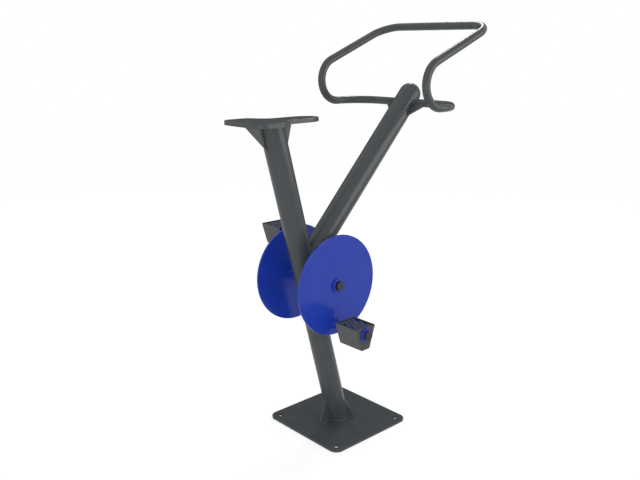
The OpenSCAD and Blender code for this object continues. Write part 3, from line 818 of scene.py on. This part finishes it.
@dataclass(frozen=True)
class Rib:
    """An upright rib on the plate: its direction from the post, its reach and its height."""

    turn_deg: float
    reach: float
    height: float
    half: float = 3.0
    end_gap: float = 1.0
    weld_points: int = 60

    def welds(self, layout: Layout, weld: Weld) -> Surface:
        """The welds along both faces of the rib, on the plate and up the post.

        A face runs from the post's centre at the plate in the rib's direction, half a thickness
        aside. At each height it meets the leaning post where the distance u solves
        ((bx + u c) cos L)^2 + (by + u s)^2 = r^2, with c and s the direction's cosine and sine,
        (bx, by) the face's start as seen from the post's axis and L the lean.

        Args:
            layout: The shared sizes.
            weld: The weld to lay.

        Returns:
            The welds as one surface.
        """
        post = layout.post
        turn, lean = math.radians(self.turn_deg), math.radians(layout.lean_deg)
        c, s = math.cos(turn), math.sin(turn)
        ahead, aside = c * X + s * Y, c * Y - s * X
        start_x = layout.post_foot_x - layout.plate_top * math.tan(lean)
        up = np.linspace(self.end_gap, self.height - self.end_gap, self.weld_points)
        parts = []
        for out in (aside, -aside):
            off = self.half * out
            bx = up * math.tan(lean) + off[0]
            across = (c * math.cos(lean)) ** 2 + s**2
            lag = bx * c * math.cos(lean) ** 2 + off[1] * s
            rest = (bx * math.cos(lean)) ** 2 + off[1] ** 2 - post.radius**2
            u = (np.sqrt(lag**2 - across * rest) - lag) / across
            base = start_x * X + off + layout.plate_top * Z
            along = np.linspace(u[0], self.reach - self.end_gap, self.weld_points)
            foot = base + along[:, None] * ahead
            climb = base + u[:, None] * ahead + up[:, None] * Z
            parts.append(weld.along(foot, (out, Z), (Z, out), closed=False))
            sides = (out, post.normal(climb))
            parts.append(weld.along(climb, sides, (ahead, out), closed=False))
        return sum(parts[1:], parts[0])


@dataclass
class Assembly:
    """A sub-assembly of the bike: the shared sizes and places, and the shop that dresses it."""

    layout: Layout
    shop: Workshop


@dataclass
class Stand(Assembly):
    """The floor plate, its ribs and the welds round the post's foot."""

    plate_edge: float = 1.2
    rib_edge: float = 0.8
    ribs: tuple[Rib, ...] = (Rib(180, 87.4, 87), Rib(50, 56.05, 75), Rib(-50, 56.05, 75))
    weld: Weld = Weld(leg=2.2, crown=0.1)
    rib_weld: Weld = Weld(leg=2.2, crown=0.2)
    weld_points: int = 220

    def foot_weld(self) -> Surface:
        """The weld round the post's foot: where the leaning tube cuts the plate's top.

        Returns:
            The closed surface.
        """
        post, angle = self.layout.post, around(self.weld_points)
        outward = post.outward(angle)
        rise = self.layout.plate_top - (post.origin + post.radius * outward) @ Z
        path = post.at(angle, rise / (post.axis @ Z))
        return self.weld.along(path, (outward, Z), (post.axis, outward))

    def build(self) -> None:
        """Builds and dresses the stand."""
        self.shop.rounded("base_plate", "plate_rounded", self.plate_edge)
        self.shop.rounded("base_ribs", "ribs_rounded", self.rib_edge)
        surface = self.foot_weld()
        for rib in self.ribs:
            surface += rib.welds(self.layout, self.rib_weld)
        self.shop.on_piece(new_piece("stand_welds", surface), Slot.GREY, "frame")


@dataclass
class TubeFrame(Assembly):
    """The post, the front tube with its domed cap, the bearing housing and their welds."""

    housing_edge: float = 0.5
    weld: Weld = Weld(leg=5.0)
    tube_points: int = 260
    housing_points: int = 200

    def tube_weld(self) -> Surface:
        """The weld where the front tube lands on the post.

        At an angle round the front tube, the distance along it is the one at which its surface
        is as far before the post's axis as the post's own surface is.

        Returns:
            The closed surface.
        """
        post, front = self.layout.post, self.layout.front
        angle = around(self.tube_points)
        outward = front.outward(angle)
        before = (front.origin - post.origin + front.radius * outward) @ post.front
        lateral = post.radius * np.abs(np.cos(angle))
        path = front.at(angle, (lateral - before) / (front.axis @ post.front))
        away = (front.axis, path - path.mean(0))
        return self.weld.along(path, (outward, post.normal(path)), away)

    def housing_weld(self) -> Surface:
        """The weld where the bearing housing lies in the post's front.

        The angle round the post swings between its two outermost values as a sine, and the
        height over the axle is that of the housing's circle there, up for one half of the swing
        and down for the other.

        Returns:
            The closed surface.
        """
        post, axle, radius = self.layout.post, self.layout.axle, self.layout.housing_r
        widest = math.acos((self.layout.axle_ahead - radius) / post.radius)
        swing = around(self.housing_points)
        angle = widest * np.sin(swing)
        ahead = post.radius * np.cos(angle) - self.layout.axle_ahead
        up = np.sign(np.cos(swing)) * np.sqrt(np.maximum(radius**2 - ahead**2, 0))
        path = post.at(angle, (axle - post.origin) @ post.axis + up)
        on_housing = unit(ahead[:, None] * post.front + up[:, None] * post.axis)
        away = (path - axle, np.sign(path @ Y)[:, None] * Y)
        return self.weld.along(path, (post.outward(angle), on_housing), away)

    def build(self) -> None:
        """Builds and dresses the tube frame."""
        self.shop.on_nodes(Slot.GREY, "seat_post", "front_tube", "front_tube_cap")
        self.shop.rounded("bearing_housing", "housing_rounded", self.housing_edge)
        welds = new_piece("tube_welds", self.tube_weld() + self.housing_weld())
        self.shop.on_piece(welds, Slot.GREY, "frame")


@dataclass
class Handlebar(Assembly):
    """The looped handlebar through the front tube, its two gussets and their welds."""

    radius: float = 13.45
    half_width: float = 239.0
    cross_bend_r: float = 100.0
    side_len: float = 18.7
    side_bend_r: float = 75.0
    rise_deg: float = 22.0
    arm_len: float = 227.0
    top_bend_r: float = 75.0
    sides: int = 40
    gusset_edge: float = 0.8
    weld: Weld = Weld(leg=3.6)
    weld_points: int = 120

    def loop(self) -> Surface:
        """The whole bent tube, from the crossbar's middle round the loop and back.

        Returns:
            The closed surface.
        """
        rise = math.radians(self.rise_deg)
        cross = Straight(self.half_width - self.cross_bend_r)
        out = Bend((0, 0, 1), self.cross_bend_r, 90)
        short, arm = Straight(self.side_len), Straight(self.arm_len)
        curl = Bend((0, 1, 0), self.side_bend_r, 180 - self.rise_deg)
        corner = Bend((math.sin(rise), 0, -math.cos(rise)), self.top_bend_r, 90)
        top = Straight(2 * (self.half_width - self.top_bend_r))
        there = [cross, out, short, curl, arm, corner]
        back = [corner, arm, replace(curl, axis=(0, -1, 0)), short, out, cross]
        start = np.array([self.layout.bar, Y, Z])
        return bent_tube([*there, top, *back], start, self.radius, self.sides)

    def bar_welds(self) -> Surface:
        """The welds where the crossbar leaves the front tube on both sides.

        Returns:
            Both closed surfaces as one.
        """
        front, angle = self.layout.front, around(self.weld_points)[:, None]
        on_bar = np.cos(angle) * front.front + np.sin(angle) * front.axis
        flat = self.layout.bar + self.radius * on_bar
        ahead = (flat - front.origin) @ front.front
        y = np.sqrt(front.radius**2 - ahead**2)[:, None]
        on_front = unit(ahead[:, None] * front.front + y * Y)
        left = self.weld.along(flat + y * Y, (on_bar, on_front), (Y, on_bar))
        return left + left.on(Side.RIGHT)

    def build(self) -> None:
        """Builds and dresses the handlebar."""
        tube = new_piece("handlebar_tube", self.loop())
        self.shop.on_piece(tube, Slot.GREY, "frame", "handlebar")
        self.shop.rounded("handlebar_gussets", "bar_gussets_rounded", self.gusset_edge)
        self.shop.on_piece(new_piece("handlebar_welds", self.bar_welds()), Slot.GREY, "frame")


@dataclass
class Saddle(Assembly):
    """The folded steel saddle, the flat bar under it and the gussets on the post."""

    top: float = 1093.4
    rear_x: float = -405.97
    length: float = 303.0
    half_width: float = 98.0
    nose_half: float = 41.5
    wide_len: float = 86.0
    corner_r: float = 40.0
    shoulder_r: float = 30.0
    shoulder_deg: float = 60.0
    waist_r: float = 50.0
    tip_len: float = 60.0
    rim: float = 13.0
    rim_inset: float = 16.0
    sheet: float = 3.0
    edge_r: float = 2.6
    lip_r: float = 0.7
    fold_r: float = 0.8
    fold_steps: int = 6
    spine_rear: float = 60.0
    spine_nose: float = 45.0
    plate_edge: float = 0.8

    def side(self, inset: np.ndarray) -> np.ndarray:
        """The left half of the outline at each inset.

        Four arcs in turn: the rear corner, the shoulder, the hollow waist and the rounded tip.
        Each point is the arc's centre plus its radius, less the inset, times (cosine, sine). At
        the waist, whose centre lies outside, the inset adds to the radius.

        Args:
            inset: Insets in millimetres, one for each row.

        Returns:
            Rows by points by two.
        """
        turn, right = math.radians(self.shoulder_deg), math.pi / 2
        wide, nose = self.half_width, self.nose_half
        corner, shoulder, waist = self.corner_r, self.shoulder_r, self.waist_r
        fall = wide - nose - (shoulder + waist) * (1 - math.cos(turn))
        waist_x = self.wide_len + (shoulder + waist) * math.sin(turn) + fall / math.tan(turn)
        # For each arc: its centre, its two radii, its first and last angle, and its points.
        arcs = (
            (corner, wide - corner, corner, corner, 2 * right, right, 16),
            (self.wide_len, wide - shoulder, shoulder, shoulder, right, right - turn, 14),
            (waist_x, nose + waist, waist, waist, 3 * right - turn, 3 * right, 14),
            (self.length - self.tip_len, 0.0, self.tip_len, nose, right, 0.0, 24),
        )
        rows = []
        for cx, cy, rx, ry, start, stop, count in arcs:
            angle = np.linspace(start, stop, count)[None]
            hollow = start > 2 * right
            grow = (inset if hollow else -inset)[:, None]
            x, y = cx + (rx + grow) * np.cos(angle), cy + (ry + grow) * np.sin(angle)
            rows.append(np.stack([x, y], axis=-1))
        return np.concatenate(rows, axis=1)

    def pan(self) -> Surface:
        """The tray: its section carried round the outline, from the top's spine over the rim.

        The section's points are (inset, height), rounded where the sheet folds, and both ends
        run in to a spine in the middle plane at the same x, held back from the two ends. The
        last corner of the section only guides the one before it.

        Returns:
            The closed surface.
        """
        low, under = self.top - self.rim, self.top - self.sheet
        corners = [
            (self.rim_inset, self.top, 0.0), (0.0, self.top, self.edge_r), (0.0, low, self.lip_r),
            (self.sheet, low, self.lip_r), (self.sheet, under, self.fold_r),
            (self.rim_inset, under, 0.0),
        ]
        section = soften(corners, self.fold_steps)[: -self.fold_steps - 3]
        side = self.side(section[:, 0])
        outline = np.concatenate([side, side[:, ::-1] * np.array([1, -1])], axis=1)
        rows = np.empty((*outline.shape[:2], 3))
        rows[..., :2] = outline + np.array([self.rear_x, 0])
        rows[..., 2] = section[:, 1:]
        spine = rows * (X + Z)
        ends = (self.rear_x + self.spine_rear, self.rear_x + self.length - self.spine_nose)
        spine[..., 0] = np.clip(rows[..., 0], *ends)
        return grid(np.concatenate([spine[:1], rows, spine[-1:]]))

    def build(self) -> None:
        """Builds and dresses the saddle."""
        self.shop.on_piece(new_piece("saddle_pan", self.pan()), Slot.GREY, "frame", "seat_pan")
        self.shop.rounded("seat_mount_bar", "seat_bar_rounded", self.plate_edge)
        self.shop.rounded("seat_gussets", "seat_gussets_rounded", self.plate_edge)


# Points of (distance from the middle plane, radius).
Outline = tuple[tuple[float, float], ...]


@dataclass
class CrankSet(Assembly):
    """The axle in its bearings, the two hubs with their discs, and the pedal spindles."""

    disc_r: float = 166.5
    disc_in: float = 99.4
    disc_out: float = 105.9
    disc_edge: float = 0.8
    disc_fit: float = 0.02
    bore_edge: float = 0.1
    ring_r: float = 24.0
    ring_out: float = 112.9
    boss_r: float = 29.0
    boss_in: float = 89.4
    nose_r: float = 20.0
    nose_in: float = 61.5
    bore_r: float = 12.52
    recess: float = 103.9
    cap_bore_r: float = 15.7
    flange: Outline = (
        (105.9, 0), (105.9, 20), (113.9, 20), (113.9, 14), (146.0, 14), (146.0, 0)
    )
    stud: Outline = ((82.4, 0), (82.4, 8), (105.9, 8), (105.9, 0))
    journal: Outline = (
        (146.0, 0), (146.0, 10), (228.8, 10), (228.8, 6), (244.5, 6), (244.5, 0)
    )
    spindle_edge: float = 0.6
    spindle_steps: int = 4
    disc_sides: int = 240
    hub_sides: int = 128
    spindle_sides: int = 96

    def disc(self) -> Surface:
        """A disc: a flat ring with rounded edges, turned round the axle.

        Returns:
            The closed surface.
        """
        bore = self.ring_r + self.disc_fit
        corners = [
            (self.disc_in, bore, self.bore_edge), (self.disc_out, bore, self.bore_edge),
            (self.disc_out, self.disc_r, self.disc_edge),
            (self.disc_in, self.disc_r, self.disc_edge),
        ]
        return turned(soften(corners), self.layout.axle, self.disc_sides)

    def hub(self) -> Surface:
        """A turned hub: nose, boss behind the disc and ring before it, with softened edges.

        Returns:
            The closed surface.
        """
        corners = [
            (self.nose_in, self.bore_r, 0.3), (self.nose_in, self.nose_r, 0.6),
            (self.boss_in, self.nose_r, 2.5), (self.boss_in, self.boss_r, 1.0),
            (self.disc_in, self.boss_r, 0.3), (self.disc_in, self.ring_r, 0.1),
            (self.ring_out, self.ring_r, 1.2), (self.ring_out, self.cap_bore_r, 0.4),
            (self.recess, self.cap_bore_r, 0.2), (self.recess, self.bore_r, 0.3),
        ]
        return turned(soften(corners), self.layout.axle, self.hub_sides)

    def spindle(self, side: Side, outline: Outline) -> Surface:
        """A stretch of a pedal's spindle, turned from its outline with softened edges.

        Args:
            side: The side whose spindle's place it takes.
            outline: Its points.

        Returns:
            The closed surface, as on the left side.
        """
        corners = [(y, radius, self.spindle_edge if radius else 0.0) for y, radius in outline]
        section = soften(corners, self.spindle_steps)
        return turned(section, self.layout.spindle(side), self.spindle_sides)

    def build(self) -> None:
        """Builds and dresses the crank set."""
        for side in Side:
            for name, surface, slot, node in (
                ("disc_turned", self.disc(), Slot.BLUE, "crank_disc"),
                ("hub_turned", self.hub(), Slot.BLUE, "crank_hub"),
                ("spindle_flange", self.spindle(side, self.flange), Slot.BLUE, "pedal_spindle"),
                ("spindle_stud", self.spindle(side, self.stud), Slot.STEEL, "pedal_spindle"),
                ("spindle_journal", self.spindle(side, self.journal), Slot.STEEL, "pedal_spindle"),
            ):
                piece = new_piece(f"{name}_{side.word}", surface.on(side))
                self.shop.on_piece(piece, slot, "crankset", f"{node}_{side.word}")
        self.shop.on_nodes(Slot.CAP, "hub_caps")
        self.shop.on_nodes(Slot.RUBBER, "dust_seals")
        self.shop.on_nodes(Slot.BRONZE, "pedal_thrust_washers")
        self.shop.on_nodes(
            Slot.STEEL, "crank_axle", "bearing_inner_rings", "bearing_outer_rings",
            "bearing_balls", "axle_keys",
        )
        self.shop.on_nodes(
            Slot.ZINC, "bearing_shields", "housing_circlips", "bearing_spacer", "axle_washers",
            "axle_bolts", "spindle_washers", "spindle_nuts", "pedal_nuts",
        )


@dataclass
class Pedal(Assembly):
    """One box pedal: folded shell, end plates, perforated tread, barrel and cap."""

    side: Side
    shell_edge: float = 0.7
    end_edge: float = 0.9
    tread_edge: float = 0.35
    rub_from: float = 1.6
    rub_full: float = 0.6

    def rub(self, tread: Object) -> None:
        """Marks a painted highlight on the tread: a share of pale colour on the collars' tops.

        The share rises evenly with the height, from nothing at the pedal's first depth below the
        collars' tops to all at its second, smaller depth below them.

        Args:
            tread: The tread's piece.
        """
        places = np.empty(len(tread.data.vertices) * 3)
        tread.data.vertices.foreach_get("co", places)
        height = places[2::3] / MM
        share = (height - height.max() + self.rub_from) / (self.rub_from - self.rub_full)
        worn = tread.data.attributes.new("worn", "FLOAT", "POINT")
        worn.data.foreach_set("value", np.clip(share, 0, 1).astype(np.float32))

    def build(self) -> None:
        """Builds and dresses the pedal."""
        word = self.side.word
        for part, edge in (
            ("shell", self.shell_edge), ("end_plates", self.end_edge), ("tread", self.tread_edge)
        ):
            node = f"pedal_{part}_{word}"
            piece = self.shop.rounded(node, f"{node}_rounded", edge, Slot.PEDAL, f"pedal_{word}")
        # The tread gets a painted highlight: pale colour on its collars' tops, over a dark coat.
        self.rub(piece)
        piece.data.materials[0] = self.shop.materials[TREAD_WITH_PAINTED_LIGHT]
        LOG.info("piece %s is given_painted_highlight: %s", piece.name, TREAD_WITH_PAINTED_LIGHT.name)
        self.shop.on_nodes(Slot.BLUE, f"pedal_barrel_{word}")
        self.shop.on_nodes(Slot.BRONZE, f"pedal_bushes_{word}")
        self.shop.on_nodes(Slot.CAP, f"pedal_cap_{word}")


def flat_sheet(
    name: str, corners: list[np.ndarray], material: Material
) -> Object:
    """Makes one four-sided sheet of the studio.

    Args:
        name: The sheet's name.
        corners: Its corners in order, in metres.
        material: What it is made of.

    Returns:
        The new object.
    """
    mesh = bpy.data.meshes.new(name)
    mesh.from_pydata([tuple(corner) for corner in corners], [], [[0, 1, 2, 3]])
    mesh.materials.append(material)
    return placed(name, mesh)


@dataclass(frozen=True)
class Card:
    """An upright studio card that only the object's reflections see.

    A dim one behind the object keeps the seat's top and the plate, which are seen at a flat
    angle, as dark as the tubes. A bright one at the side draws the soft streak along the tubes.
    """

    name: str
    azimuth_deg: float
    distance: float
    width: float
    low: float
    high: float
    light: float

    def stand(self) -> None:
        """Stands the card at its distance, facing the object's middle."""
        material, tree = blank_material(f"{self.name}_card")
        glow = add_node(tree, "ShaderNodeEmission", {"Color": WHITE, "Strength": self.light})
        add_node(tree, "ShaderNodeOutputMaterial", {"Surface": glow.outputs["Emission"]})
        turn = math.radians(self.azimuth_deg)
        middle = self.distance * (math.cos(turn) * X + math.sin(turn) * Y)
        aside = np.cross(Z, unit(middle)) * self.width / 2
        ends = ((-1, self.low), (1, self.low), (1, self.high), (-1, self.high))
        corners = [middle + way * aside + height * Z for way, height in ends]
        card = flat_sheet(self.name, corners, material)
        for ray in ("camera", "diffuse", "transmission", "volume_scatter", "shadow"):
            setattr(card, f"visible_{ray}", False)


@dataclass(frozen=True)
class Lamp:
    """A square soft lamp: its power in watts, its side and where it hangs."""

    name: str
    watts: float
    size: float
    place: tuple[float, float, float]

    def hang(self, target: np.ndarray) -> None:
        """Hangs the lamp in its place.

        Args:
            target: The point that it faces.
        """
        data = bpy.data.lights.new(self.name, "AREA")
        data.shape, data.size, data.energy = "SQUARE", self.size, self.watts
        lamp = placed(self.name, data)
        lamp.location = self.place
        facing = Vector((target - np.array(self.place)).tolist())
        lamp.rotation_mode = "QUATERNION"
        lamp.rotation_quaternion = facing.to_track_quat("-Z", "Y")


@dataclass
class Studio:
    """A white room with soft lamps, two cards and the photograph's camera."""

    lens: float = 41.455
    sensor: float = 36.0
    shift_y: float = 0.0283
    near: float = 0.05
    far: float = 100.0
    place: tuple[float, float, float] = (-1.6846, -1.7437, 1.3082)
    turn_deg: tuple[float, float, float] = (73.875, 0.0, -42.5)
    room_light: float = 0.78
    floor_size: float = 24.0
    floor_shade_share: float = 0.5
    floor_glow: float = 1.21
    target: tuple[float, float, float] = (0.0, 0.0, 0.7)
    lamps: tuple[Lamp, ...] = (
        Lamp("key_behind", 14.0, 0.55, (1.9, 1.23, 2.96)),
        Lamp("fill_front", 24.0, 2.2, (-2.7, -2.1, 0.5)),
    )
    cards: tuple[Card, ...] = (
        Card("dim_flag", 47.56, 4.0, 7.0, 0.0, 3.5, 0.09),
        Card("side_softbox", -59.0, 3.5, 3.1, 0.45, 2.6, 4.1),
    )

    def camera(self) -> None:
        """Sets up the camera at the photograph's viewing angle."""
        data = bpy.data.cameras.new("photo_camera")
        data.lens, data.sensor_width, data.shift_y = self.lens, self.sensor, self.shift_y
        data.sensor_fit = "HORIZONTAL"
        data.clip_start, data.clip_end = self.near, self.far
        camera = placed("photo_camera", data)
        camera.location = self.place
        camera.rotation_euler = [math.radians(a) for a in self.turn_deg]
        bpy.context.scene.camera = camera

    def room(self) -> None:
        """Lights the world evenly, and shows it white behind the object and in reflections."""
        world = bpy.data.worlds.new("white_room")
        bpy.context.scene.world = world
        world.use_nodes = True
        tree = world.node_tree
        tree.nodes.clear()
        ray = add_node(tree, "ShaderNodeLightPath")
        seen = ray.outputs["Is Camera Ray"]
        for name in ("Is Glossy Ray", "Is Transmission Ray"):
            seen = add_node(
                tree, "ShaderNodeMath", {0: seen, 1: ray.outputs[name]}, operation="MAXIMUM"
            ).outputs["Value"]
        strength = add_node(
            tree, "ShaderNodeMapRange", {"Value": seen, "To Min": self.room_light}
        ).outputs["Result"]
        back = add_node(tree, "ShaderNodeBackground", {"Color": WHITE, "Strength": strength})
        add_node(tree, "ShaderNodeOutputWorld", {"Surface": back.outputs["Background"]})

    def floor(self) -> None:
        """Lays a pale floor that keeps a faint share of the object's shadow."""
        material, tree = blank_material("white_studio_floor")
        ray = add_node(tree, "ShaderNodeLightPath")
        matt = add_node(tree, "ShaderNodeBsdfDiffuse", {"Color": WHITE})
        glow = add_node(tree, "ShaderNodeEmission", {"Color": WHITE, "Strength": self.floor_glow})
        share = add_node(
            tree,
            "ShaderNodeMath",
            {0: ray.outputs["Is Camera Ray"], 1: 1 - self.floor_shade_share},
            operation="MULTIPLY",
        )
        mixed = add_node(
            tree,
            "ShaderNodeMixShader",
            {0: share.outputs["Value"], 1: matt.outputs["BSDF"], 2: glow.outputs["Emission"]},
        )
        add_node(tree, "ShaderNodeOutputMaterial", {"Surface": mixed.outputs["Shader"]})
        half = self.floor_size / 2
        corners = [half * (x * X + y * Y) for x, y in ((-1, -1), (1, -1), (1, 1), (-1, 1))]
        floor = flat_sheet("floor", corners, material)

    def build(self) -> None:
        """Builds the whole studio."""
        bpy.context.scene.view_settings.view_transform = "Standard"
        self.camera()
        self.room()
        self.floor()
        for lamp in self.lamps:
            lamp.hang(np.array(self.target))
        for card in self.cards:
            card.stand()
        LOG.info("studio: camera, room, floor, lamps and cards")


def main() -> None:
    """Builds the sub-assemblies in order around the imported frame."""
    logging.basicConfig(level=logging.INFO, format="%(name)s: %(message)s")
    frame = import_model()
    shared = (Layout(), Workshop(frame))
    for part in (
        Stand(*shared),
        TubeFrame(*shared),
        Handlebar(*shared),
        Saddle(*shared),
        CrankSet(*shared),
        Pedal(*shared, Side.RIGHT),
        Pedal(*shared, Side.LEFT),
    ):
        part.build()
        LOG.info("%s is built", type(part).__name__)
    Studio().build()


if __name__ == "__main__":
    main()
